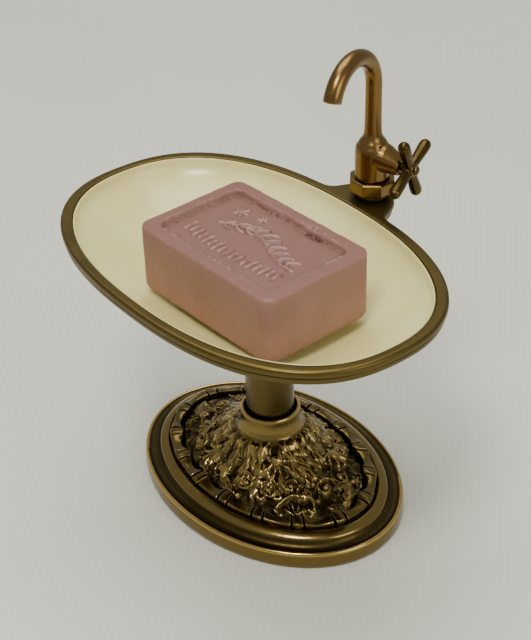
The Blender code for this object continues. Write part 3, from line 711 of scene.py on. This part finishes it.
def foot_casting(surface):
    """Oval foot with a smooth band and bead round a carved field."""
    made = drawn_rings(foot_rings(), FIELD_STEPS, hollow=True)
    points = mesh_points(made)
    normals = np.zeros(points.size)
    made.data.vertices.foreach_get("normal", normals)
    normals = normals.reshape(-1, 3)
    plan = points[:, :2] / MM
    half = (np.array([FOOT_HALF_LENGTH, FOOT_HALF_WIDTH]) - 17.3 * MM) / MM
    within = np.hypot(plan[:, 0] / half[0], plan[:, 1] / half[1])
    radius = np.hypot(plan[:, 0], plan[:, 1])
    outside = normals[:, 2] > 0.05
    carved = outside & (within < 1.0) & (radius > 14.25) & (points[:, 2] < NECK_FOOT)
    fade = np.clip((1.0 - within) / 0.03, 0, 1) * soft_step((radius - 14.3) / 1.8)
    height = np.zeros(len(points))
    drift = np.array([noise.noise_vector(Vector(p) / (7.0 * MM)) for p in points[carved]])
    height[carved] = 0.9 * ridges(plan[carved] + 1.2 * drift[:, :2], field_ornament())
    lumps = np.array([noise.noise(Vector(p) / (4.5 * MM)) for p in points[carved]])
    height[carved] += 0.4 * np.abs(lumps)
    lift = (height * RELIEF * MM - FIELD_SINK) * fade * carved
    set_points(made, points + normals * lift[:, None])
    # Per-point value for the brass material: on the carving, wear and patina from the relief's
    # height; on the band, collar and socket, painted highlights and painted shade, as marked below.
    wear_and_painted_light = np.full(len(points), 0.83)
    wear_and_painted_light[carved] = (np.clip(height[carved] * 1.05, 0.0, 1.0) * fade[carved]
                      + 0.83 * (1 - fade[carved]))
    # Painted shade: the groove beside and under the border links is set almost to the darkest
    # colour.
    groove = outside & (within >= 0.985) & (within < 1.14) & (points[:, 2] < 12 * MM)
    wear_and_painted_light[groove] = 0.02
    inset = FOOT_HALF_LENGTH - FOOT_HALF_LENGTH * np.hypot(points[:, 0] / FOOT_HALF_LENGTH,
                                                           points[:, 1] / FOOT_HALF_WIDTH)
    around = outside & (points[:, 2] < 12 * MM)
    # Painted shade: the cove inside the band's lip is darkened.
    wear_and_painted_light[around & (inset > 1.8 * MM) & (points[:, 2] < 9.6 * MM)] = 0.2
    # Painted highlight: the band's top lip is set past full wear, which makes a bright line.
    wear_and_painted_light[around & (inset > 0.2 * MM) & (inset < 1.8 * MM)] = 1.3
    # Painted highlight: the bead inside the cove is made a little brighter.
    wear_and_painted_light[around & (points[:, 2] > 9.9 * MM) & (inset < 12.5 * MM)] = 0.86
    # Painted highlight: the collar's top lip is set bright.
    wear_and_painted_light[outside & (points[:, 2] > 38.9 * MM)] = 1.2
    # Painted shade: the inside of the stem's socket is darkened.
    wear_and_painted_light[(points[:, 2] > NECK_FOOT) & (radius < 11.1)] = 0.1
    tag = made.data.attributes.new("wear_and_painted_light", "FLOAT", "POINT")
    tag.data.foreach_set("value", wear_and_painted_light.astype(np.float32))
    modified(made, "SMOOTH", factor=0.5, iterations=5)
    settle(made, radians(60))
    return piece(made, "foot_casting", surface, "stand", "antique_brass", "base_casting")


def border_block(length):
    """One link of the border, lying along +X: its top dips between two rolled ends."""
    nothing_selected()
    width = BORDER_TO - BORDER_FROM - 0.6 * MM
    tall = 4.0 * MM
    bpy.ops.mesh.primitive_cube_add(size=1.0, location=(0, 0, 0))
    made = bpy.context.object
    bpy.ops.object.mode_set(mode="EDIT")
    bpy.ops.transform.resize(value=(length, width, tall))
    bpy.ops.object.mode_set(mode="OBJECT")
    modified(made, "BEVEL", width=0.55 * MM, segments=3)
    bpy.ops.object.mode_set(mode="EDIT")
    bpy.ops.mesh.select_all(action="SELECT")
    bpy.ops.mesh.subdivide(number_cuts=5)
    bpy.ops.object.mode_set(mode="OBJECT")
    points = mesh_points(made)
    along = np.abs(points[:, 0]) / (length / 2)
    across = points[:, 1] / (width / 2)
    upper = points[:, 2] > -0.2 * tall
    dip = 1.1 * MM if length > 7 * MM else -0.3 * MM
    points[:, 2] += upper * (-dip * (1 - along ** 2) - 0.3 * MM * across ** 2)
    inner = points[:, 1] < 0
    waist = 0.5 if length > 7 * MM else -0.12
    points[:, 1] *= 1 - waist * np.where(inner, 1.0, 0.35) * (1 - along ** 2)
    set_points(made, points)
    return made


def border_line():
    """Turn at evenly spaced distances round the border's middle, as two matching arrays."""
    middle = (BORDER_FROM + BORDER_TO) / 2
    turns = np.linspace(0, tau, 1441)
    line = np.stack([(FOOT_HALF_LENGTH - middle) * np.cos(turns),
                     (FOOT_HALF_WIDTH - middle) * np.sin(turns)], 1)
    steps = np.linalg.norm(np.diff(line, axis=0), axis=1)
    return np.concatenate([[0], np.cumsum(steps)]), turns


def border(surface):
    """Ribbon of long and short links bent round the oval."""
    travel, turns = border_line()
    around = travel[-1]
    repeats = 16
    pitch = around / repeats
    gap = 0.8 * MM
    short = 4.3 * MM
    long = pitch - short - 2 * gap
    start = 3.0 * MM
    middle = (BORDER_FROM + BORDER_TO) / 2
    links = [(border_block(long), 0.0), (border_block(short), pitch / 2)]
    chance = np.random.default_rng(3)
    made = []
    for i in range(repeats):
        for pattern, offset in links:
            link = pattern.copy()
            link.data = pattern.data.copy()
            bpy.context.scene.collection.objects.link(link)
            points = mesh_points(link) * [1.0, chance.uniform(0.92, 1.05), chance.uniform(0.8, 1.1)]
            at = (start + i * pitch + offset + points[:, 0]) % around
            turn = np.interp(at, travel, turns)
            inset = middle - points[:, 1]
            x = (FOOT_HALF_LENGTH - inset) * np.cos(turn)
            y = (FOOT_HALF_WIDTH - inset) * np.sin(turn)
            z = points[:, 2] + 12.5 * MM + (inset - middle) * 0.16
            set_points(link, np.stack([x, y, z], 1))
            made.append(link)
    for pattern, _ in links:
        bpy.data.objects.remove(pattern)
    nothing_selected()
    for link in made:
        link.select_set(True)
    bpy.context.view_layer.objects.active = made[0]
    bpy.ops.object.join()
    return piece(settle(made[0], radians(50)), "foot_border", surface, "stand", "antique_brass")


# ---------------------------------------------------------------- stem

def stem(surface):
    """Plain drawn tube, a little wider at its head."""
    foot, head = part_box("stem_tube")[0].z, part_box("stem_tube")[1].z
    rings = [(r * MM, r * MM, z) for r, z in (
        (8.4, foot), (9.9, foot), (10.2, foot + 0.3 * MM), (10.2, NECK_TOP),
        (10.45, (NECK_TOP + head) / 2), (10.72, head - 3 * MM), (10.75, head - 0.4 * MM),
        (10.4, head), (8.4, head))]
    made = settle(drawn_rings(rings, 96, hollow=True))
    return piece(made, "stem", surface, "stand", "antique_brass", "stem_tube")


# ---------------------------------------------------------------- basin

def basin_turns():
    """Directions round the basin, closer together where the tongue joins it."""
    wide = np.arange(0, 360, 4.0)
    turns = np.concatenate([wide[(wide < 60) | (wide > 120)], np.arange(60, 121, 2.0)])
    turns = np.radians(np.sort(turns))
    return np.arctan2(BASIN_HALF_WIDTH * np.sin(turns), BASIN_HALF_LENGTH * np.cos(turns))


def oval_reach(angle, half_length, half_width, power):
    """Distance from the basin's middle to a rounded-oval outline."""
    along = np.abs(np.cos(angle)) / half_length
    across = np.abs(np.sin(angle)) / half_width
    return (along ** power + across ** power) ** (-1 / power)


def bowl_row(half_length, half_width, height, power=BOWL_POWER):
    angle = basin_turns()
    reach = oval_reach(angle, half_length, half_width, power)
    return np.stack([BASIN_X + reach * np.cos(angle), BASIN_Y + reach * np.sin(angle),
                     np.full(len(angle), height)], 1)


def outline_row(inset, height):
    """Row round the basin and its tongue, found by halving along each direction."""
    angle = basin_turns()
    near = np.full(len(angle), 15.0 * MM)
    far = np.full(len(angle), 120.0 * MM)
    for _ in range(30):
        middle = (near + far) / 2
        x, y = BASIN_X + middle * np.cos(angle), BASIN_Y + middle * np.sin(angle)
        from_bowl = middle - oval_reach(angle, BASIN_HALF_LENGTH, BASIN_HALF_WIDTH, RIM_POWER)
        from_tongue = np.hypot(x, y - np.clip(y, 0.0, TONGUE_Y)) - TONGUE_RADIUS
        share = np.clip(TONGUE_BLEND - np.abs(from_bowl - from_tongue), 0, None) / TONGUE_BLEND
        depth = np.minimum(from_bowl, from_tongue) - share ** 2 * TONGUE_BLEND / 4
        inner = depth < -inset
        near, far = np.where(inner, middle, near), np.where(inner, far, middle)
    return np.stack([BASIN_X + near * np.cos(angle), BASIN_Y + near * np.sin(angle),
                     np.full(len(angle), height)], 1)


# Inside of the brass bowl, as (distance in from the rim's inner edge, height) in mm.
BOWL_PROFILE = [(0.0, 121.0), (0.4, 118.4), (1.5, 116.2), (3.9, 113.5), (8.3, 110.3),
                (13.2, 107.2), (19.0, 104.3), (25.2, 102.1), (32.5, 100.9), (38.5, 100.5)]


def bowl_rows(lift):
    """Rows down the inside of the bowl, moved lift inwards, then across its floor."""
    rows = []
    for i, (inset, height) in enumerate(BOWL_PROFILE):
        before = BOWL_PROFILE[max(i - 1, 0)]
        after = BOWL_PROFILE[min(i + 1, len(BOWL_PROFILE) - 1)]
        run, rise = after[0] - before[0], after[1] - before[1]
        length = hypot(run, rise)
        inward = inset * MM - lift * rise / length
        rows.append(bowl_row(BOWL_HALF_LENGTH - inward, BOWL_HALF_WIDTH - inward,
                             height * MM + lift * run / length))
    for part in (0.75, 0.5, 0.25, 0.1):
        rows.append(bowl_row(part * (BOWL_HALF_LENGTH - 38.5 * MM),
                             part * (BOWL_HALF_WIDTH - 38.5 * MM), BOWL_FLOOR + lift))
    return rows


def basin(surface):
    """Cast bowl with a rounded rim, a fine line round its side and the tap's tongue."""
    def under(inset, height):
        return bowl_row(BASIN_HALF_LENGTH - inset * MM, BASIN_HALF_WIDTH - inset * MM,
                        height * MM, RIM_POWER)

    def over(outset, height):
        return bowl_row(BOWL_HALF_LENGTH + outset * MM, BOWL_HALF_WIDTH + outset * MM,
                        height * MM)

    rows = [under(44.0, 98.0), under(36.0, 98.5), under(28.0, 100.0), under(21.5, 102.3),
            under(15.5, 105.4), under(10.5, 108.6), under(6.0, 111.7), under(3.4, 114.0),
            under(2.7, 114.9), under(2.5, 115.2), under(2.4, 115.25),
            outline_row(1.9 * MM, APRON_FOOT), outline_row(1.5 * MM, APRON_FOOT + 0.1 * MM),
            outline_row(1.0 * MM, APRON_FOOT + 0.5 * MM), outline_row(0.8 * MM, 116.4 * MM),
            outline_row(0.7 * MM, 117.5 * MM), outline_row(0.8 * MM, 117.75 * MM),
            outline_row(1.05 * MM, 117.9 * MM), outline_row(1.05 * MM, 118.05 * MM),
            outline_row(0.5 * MM, 118.3 * MM), outline_row(0.1 * MM, 118.8 * MM),
            outline_row(0.0 * MM, 119.6 * MM), outline_row(0.1 * MM, RIM_TOP - 0.9 * MM),
            outline_row(0.4 * MM, RIM_TOP - 0.35 * MM), outline_row(0.9 * MM, RIM_TOP - 0.08 * MM),
            outline_row(1.35 * MM, RIM_TOP), outline_row(1.6 * MM, RIM_TOP),
            over(1.9, 121.38), over(1.0, 121.34), over(0.3, 121.28), over(0.05, 121.1)]
    rows += bowl_rows(0.0)
    made = settle(modified(skinned("basin", rows), "SUBSURF", levels=2, render_levels=2))
    return piece(made, "basin", surface, "stand", "antique_brass", "basin_casting")


def enamel(surface):
    """Glassy lining of the bowl; its edge is drawn up against the rim."""
    rows = bowl_rows(0.1 * MM)[::-1] + bowl_rows(ENAMEL_LIFT)
    made = settle(modified(skinned("enamel", rows), "SUBSURF", levels=2, render_levels=2))
    return piece(made, "enamel_lining", surface, "stand", "cream_enamel", "basin_enamel")


# ---------------------------------------------------------------- tap

def swan_neck(surface):
    """Pipe that rises from the tap, bends over and opens in a slightly flared mouth."""
    nothing_selected()
    sides = 40
    foot = TAP_HEAD - 6.0 * MM
    bpy.ops.mesh.primitive_circle_add(vertices=sides, radius=SPOUT_FOOT_RADIUS,
                                      location=(0, 0, foot))
    made = bpy.context.object
    made.location = (0, 0, 0)
    set_points(made, mesh_points(made) + [0, 0, foot])
    bpy.ops.object.mode_set(mode="EDIT")
    bpy.ops.mesh.select_all(action="SELECT")
    bpy.ops.mesh.edge_face_add()
    height, radius = foot, SPOUT_FOOT_RADIUS
    skirt = [(TAP_HEAD + rise * MM, radius_there * MM) for rise, radius_there in (
        (-3.4, 3.7), (-2.6, 6.3), (-1.35, 5.7), (-0.7, 5.2), (-0.15, 4.8), (0.4, 4.45),
        (1.0, 4.15), (1.7, 3.9), (2.6, 3.72), (4.0, 3.62), (7.0, 3.5))]
    for next_height, next_radius in (*skirt, (165 * MM, SPOUT_WAIST_RADIUS),
                                     (SPOUT_BEND_HEIGHT, SPOUT_WAIST_RADIUS)):
        bpy.ops.mesh.extrude_region_move(
            TRANSFORM_OT_translate={"value": (0, 0, next_height - height)})
        ratio = next_radius / radius
        bpy.ops.transform.resize(value=(ratio, ratio, 1.0))
        height, radius = next_height, next_radius
    steps = ceil(SPOUT_SWEEP / radians(4.0))
    part = SPOUT_SWEEP / steps
    growth = (SPOUT_TIP_RADIUS / SPOUT_WAIST_RADIUS) ** (1 / steps)
    middle = Vector((0.0, -SPOUT_BEND_RADIUS, SPOUT_BEND_HEIGHT))
    for i in range(steps):
        bpy.ops.mesh.extrude_region_move(TRANSFORM_OT_translate={"value": (0, 0, 0)})
        grip = edit_selection(made)
        turn = Matrix.Rotation(part, 4, "X")
        centre = middle + Vector((0, cos(i * part), sin(i * part))) * SPOUT_BEND_RADIUS
        move_selection(made, grip, Matrix.Translation(middle) @ turn @ Matrix.Translation(-middle)
                       @ Matrix.Translation(centre) @ Matrix.Scale(growth, 4)
                       @ Matrix.Translation(-centre))
    bpy.ops.mesh.inset(thickness=1.15 * MM)
    grip = edit_selection(made)
    tip = Vector((0, -sin(SPOUT_SWEEP), cos(SPOUT_SWEEP)))
    bpy.ops.mesh.extrude_region_move(TRANSFORM_OT_translate={"value": tuple(-4.5 * MM * tip)})
    bpy.ops.object.mode_set(mode="OBJECT")
    modified(made, "BEVEL", width=0.25 * MM, segments=2, limit_method="ANGLE",
             angle_limit=radians(50))
    made.data.transform(Matrix.Translation((0.0, TAP_Y, 0.0)) @ Matrix.Rotation(TAP_TURN, 4, "Z"))
    return piece(settle(made), "swan_neck", surface, "tap", "antique_brass", "spout_pipe")


def edit_selection(obj):
    """Indices of the vertices selected in edit mode."""
    mesh = bmesh.from_edit_mesh(obj.data)
    return [v.index for v in mesh.verts if v.select]


def move_selection(obj, indices, matrix):
    mesh = bmesh.from_edit_mesh(obj.data)
    mesh.verts.ensure_lookup_table()
    for i in indices:
        mesh.verts[i].co = matrix @ mesh.verts[i].co
    bmesh.update_edit_mesh(obj.data)


def tap(surface, dark_surface):
    """Body, collar and handle, their edges softened as in a sand casting."""
    for node, name, body, grit, rounds in (
            ("tap_collar", "collar", "tap", 0.17 * MM, 3),
            ("tap_body", "body_and_valve", "tap", 0.17 * MM, 6),
            ("cross_handle", "handle", "handle", 0.16 * MM, 3),
            ("handle_screw", "handle_cap", "handle", 0.12 * MM, 3)):
        made = softened_casting(node, grit, rounds)
        piece(made, name, dark_surface if body == "handle" else surface, body, "antique_brass",
              node)
    swan_neck(surface)


# ---------------------------------------------------------------- soap

def soap_ornament():
    """Pressed generic ornament: a leafy sprig, a small flower and an arc of lozenges, in mm."""
    parts = []
    stem_line = np.stack([np.linspace(-20, 22, 60),
                          3.6 * np.sin(np.linspace(-0.4, 5.2, 60)) + 1.8], 1)
    parts.append(stroke(stem_line, (0.5, 0.75, 0.5), 1.0))
    for i in range(10):
        at = stem_line[3 + i * 6]
        for side in (1, -1):
            blade = turned(arc_points(7.4 - 0.3 * abs(i - 5), -0.9 * side, 12),
                           side * 0.95 + 0.25)
            parts.append(stroke(blade + at, (0.4, 1.0, 0.35), 0.9))
    for line, wide, high in flower(3.2, 6):
        parts.append((line + [-20.0, 11.5], wide, high * 0.9))
    for line, wide, high in flower(2.2, 5):
        parts.append((line + [-9.5, 13.5], wide, high * 0.8))
    for i in range(17):
        x = -26 + 3.2 * i
        y = -12.0 + 0.0042 * x * x
        tall = 4.0 if i % 2 else 6.2
        parts.append(stroke(turned(arc_points(tall, 0.0, 8) - [tall / 2, 0], pi / 2) + [x, y],
                            (0.4, 1.05, 0.4), 0.9))
    return parts


def inside_rounded(x, y, half_x, half_y, corner):
    """How far inside a rounded rectangle a point is, in the units given."""
    over_x = np.abs(x) - (half_x - corner)
    over_y = np.abs(y) - (half_y - corner)
    outer = np.hypot(np.clip(over_x, 0, None), np.clip(over_y, 0, None))
    return corner - outer - np.minimum(np.maximum(over_x, over_y), 0)


def soft_step(value):
    share = np.clip(value, 0, 1)
    return share * share * (3 - 2 * share)


def soap(surface):
    """Pressed bar: a fine grid makes the stamped top, and its edge is drawn down the sides."""
    nothing_selected()
    half_x, half_y = SOAP_LENGTH / 2, SOAP_WIDTH / 2
    cuts_x, cuts_y = 230, 154
    bpy.ops.mesh.primitive_grid_add(x_subdivisions=cuts_x, y_subdivisions=cuts_y, size=2.0,
                                    location=(0, 0, 0))
    made = bpy.context.object
    points = mesh_points(made) * [half_x, half_y, 1.0]
    round_off = SOAP_CORNER
    over = np.clip(np.abs(points[:, :2]) - [half_x - round_off, half_y - round_off], 0, None)
    share = over / round_off
    bent = over * np.sqrt(1 - share[:, ::-1] ** 2 / 2)
    points[:, :2] -= np.sign(points[:, :2]) * (over - bent)
    x, y = points[:, 0], points[:, 1]
    depth = inside_rounded(x, y, half_x, half_y, SOAP_CORNER)
    soft = 1.3 * MM
    edge = np.clip(1 - depth / soft, 0, 1)
    drop = soft * (1 - np.sqrt(1 - np.clip(edge, 0, 0.98) ** 2))
    panel = inside_rounded(x, y, half_x - SOAP_MARGIN, half_y - SOAP_MARGIN, 4.0 * MM)
    sunk = SOAP_RECESS * soft_step((panel + 0.5 * MM) / (1.1 * MM))
    carved = ridges(np.stack([x, y], 1) / MM, soap_ornament(), twins=False)
    waves = np.array([noise.noise(Vector((a, b, 0.0)) / (6 * MM)) for a, b in zip(x, y)])
    bruise = np.array([noise.noise(Vector((a, b, 0.02)) / (1.5 * MM)) for a, b in zip(x, y)])
    chipped = np.exp(-(((x - 13 * MM) / (4.5 * MM)) ** 2 + ((y - 20.2 * MM) / (1.6 * MM)) ** 2))
    frayed = np.exp(-(np.abs(np.abs(panel) - 0.6 * MM) / (0.6 * MM)) ** 2)
    points[:, 2] = (SOAP_HEIGHT - drop - sunk + carved * 1.1 * MM * soft_step(panel / (1.5 * MM))
                    + 0.12 * MM * waves + 0.35 * MM * bruise * frayed
                    - chipped * (1.3 * MM + 1.8 * MM * bruise))
    set_points(made, points)
    draw_sides(made, half_x, half_y)
    roughen_sides(made)
    made.data.transform(SOAP_PLACE)
    return piece(settle(made, radians(60)), "soap_cake", surface, "soap", "rose_soap", "soap_bar")


def draw_sides(obj, half_x, half_y):
    """Extrude the grid's edge down the bar's sides and round it under."""
    undercut = 4.0 * MM
    bpy.ops.object.mode_set(mode="EDIT")
    bpy.ops.mesh.select_all(action="DESELECT")
    bpy.ops.mesh.select_mode(type="EDGE")
    bpy.ops.mesh.select_non_manifold()
    top = SOAP_HEIGHT - 1.1 * MM
    slices = [(0.0, top - (top - undercut) * (i + 1) / 22) for i in range(22)]
    for i in range(1, 9):
        lean = i * pi / 16
        slices.append((undercut * (1 - cos(lean)), undercut * (1 - sin(lean))))
    last = 0.0
    for inset, height in slices:
        bpy.ops.mesh.extrude_edges_move(TRANSFORM_OT_translate={"value": (0, 0, 0)})
        grip = edit_selection(obj)
        mesh = bmesh.from_edit_mesh(obj.data)
        mesh.verts.ensure_lookup_table()
        for i in grip:
            place = mesh.verts[i].co
            place.x *= (half_x - inset) / (half_x - last)
            place.y *= (half_y - inset) / (half_y - last)
            place.z = height
        bmesh.update_edit_mesh(obj.data)
        last = inset
    bpy.ops.mesh.edge_face_add()
    bpy.ops.mesh.select_all(action="SELECT")
    bpy.ops.mesh.normals_make_consistent(inside=False)
    bpy.ops.object.mode_set(mode="OBJECT")


def roughen_sides(obj):
    """Slight waves on the pressed sides and a few scuffs along the top edges."""
    points = mesh_points(obj)
    normals = np.zeros(points.size)
    obj.data.vertices.foreach_get("normal", normals)
    normals = normals.reshape(-1, 3)
    swell = np.array([noise.noise(Vector(p) / (9 * MM)) for p in points])
    nick = np.array([noise.noise(Vector(p) / (1.8 * MM)) for p in points])
    near_edge = np.exp(-((points[:, 2] - SOAP_HEIGHT + 0.6 * MM) / (0.8 * MM)) ** 2)
    side = np.abs(normals[:, 2]) < 0.9
    inward = side * (0.12 * MM * (swell - 0.6) + near_edge * 0.5 * MM * np.minimum(nick, 0.1))
    set_points(obj, points + normals * inward[:, None])


# ---------------------------------------------------------------- floor and assembly

def floor():
    nothing_selected()
    bpy.ops.mesh.primitive_plane_add(size=4.0, location=(0, 0, 0))
    cloth = bpy.context.object
    cloth.name = "table"
    cloth.data.materials.append(table_cloth())


def dress(names, surface):
    """Give the CAD nodes that stay their own material."""
    for name in names:
        nodes[name].data.materials.clear()
        nodes[name].data.materials.append(surface)


camera()
studio()
foot_casting(antique_brass("relief_brass", tone="5C4E2C", shine="B79A5C",
                           polish=0.2, relief=True))
# Painted highlight: the border's brass is a lighter copy of the foot's and stands in for highlights
# on the links.
border(antique_brass("border_brass_painted_highlight", tone="6A5A34", shine="BFA162"))
stem(antique_brass("stem_brass", brush=(1.0, 1.0, 0.06)))
basin(antique_brass("basin_brass", tone="5F512B", deep="342B17", shine="5A4E2E", polish=0.38))
enamel(fired_enamel())
tap(antique_brass("tap_brass", tone="7A6038", deep="3A2A14", shine="CDB078"),
    antique_brass("handle_brass", tone="4E3F20", deep="2A2010", shine="94794A"))
soap(pressed_soap())
dress(("tie_rod", "tie_rod_washer", "tie_rod_lock_washer", "tie_rod_nut", "tap_stud",
       "tap_washer", "tap_nut"), zinc_steel())
dress(("valve_spindle",), antique_brass("spindle_brass", tone="675230", shine="B89A62"))
dress(("base_felt_pad",), wool_felt())
dress(("ledge_gasket",), vulcanised_fibre())
floor()
